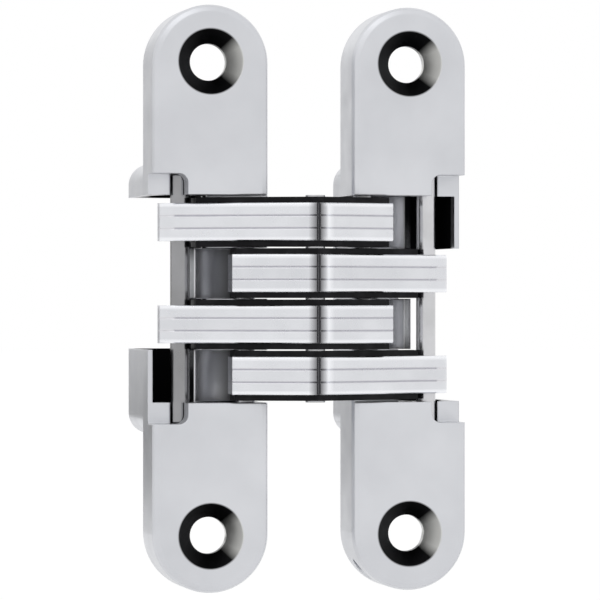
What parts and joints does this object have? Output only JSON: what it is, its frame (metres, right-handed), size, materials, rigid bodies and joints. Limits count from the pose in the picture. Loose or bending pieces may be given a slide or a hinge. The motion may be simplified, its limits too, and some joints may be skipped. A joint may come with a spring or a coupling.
{
  "type": "concealed door hinge",
  "caption": "Concealed door hinge: slim round-ended cast leaves with countersunk holes, joined by interlaced folding fingers, shown fully open.",
  "frame": {"origin": "midway between the jamb leaf's two screw holes, level with the bottom of their countersinks", "axes": "+Z along the hinge length and upright in use, -Y out of the face towards the viewer, +Y into the mortise, +X from the jamb leaf to the door leaf"},
  "size_m": [0.0521, 0.0316, 0.0952],
  "materials": {
    "leaf_casting": "satin",
    "finger_plate": "polished plating",
    "steel_pin": "ground",
    "wear_plate": "blackened"
  },
  "bodies": {
    "jamb_leaf": {"jamb_leaf": "leaf_casting", "jamb_pivot_pin": "steel_pin"},
    "jamb_fingers": {"jamb_finger_1_ply_1": "finger_plate", "jamb_finger_1_ply_2": "finger_plate", "jamb_finger_1_ply_3": "finger_plate", "jamb_finger_2_ply_1": "finger_plate", "jamb_finger_2_ply_2": "finger_plate", "jamb_finger_2_ply_3": "finger_plate", "jamb_finger_1_top_wear_plate": "wear_plate", "jamb_finger_1_bottom_wear_plate": "wear_plate", "jamb_finger_2_top_wear_plate": "wear_plate", "jamb_finger_2_bottom_wear_plate": "wear_plate", "door_slide_pin": "steel_pin", "centre_pin": "steel_pin"},
    "door_fingers": {"door_finger_1_ply_1": "finger_plate", "door_finger_1_ply_2": "finger_plate", "door_finger_1_ply_3": "finger_plate", "door_finger_2_ply_1": "finger_plate", "door_finger_2_ply_2": "finger_plate", "door_finger_2_ply_3": "finger_plate", "door_finger_1_top_wear_plate": "wear_plate", "door_finger_1_bottom_wear_plate": "wear_plate", "door_finger_2_top_wear_plate": "wear_plate", "door_finger_2_bottom_wear_plate": "wear_plate", "jamb_slide_pin": "steel_pin"},
    "door_leaf": {"door_leaf": "leaf_casting", "door_pivot_pin": "steel_pin"}
  },
  "joints": [
    {"name": "jamb_pivot", "type": "hinge", "parent": "jamb_leaf", "child": "jamb_fingers", "pos_m": [0.00668, 0.0028, 0], "axis": [0, 0, -1], "range_deg": [0, 108]},
    {"name": "centre_pivot", "type": "hinge", "parent": "jamb_fingers", "child": "door_fingers", "pos_m": [0.01653, -0.0059, 0], "axis": [0, 0, -1], "range_deg": [-36, 0]},
    {"name": "door_pivot", "type": "hinge", "parent": "door_fingers", "child": "door_leaf", "pos_m": [0.02637, 0.0028, 0], "axis": [0, 0, -1], "range_deg": [0, 108]}
  ],
  "couplings": [
    {"joint": "centre_pivot", "follows": "jamb_pivot", "ratio": -0.33333},
    {"joint": "door_pivot", "follows": "jamb_pivot", "ratio": 1}
  ]
}
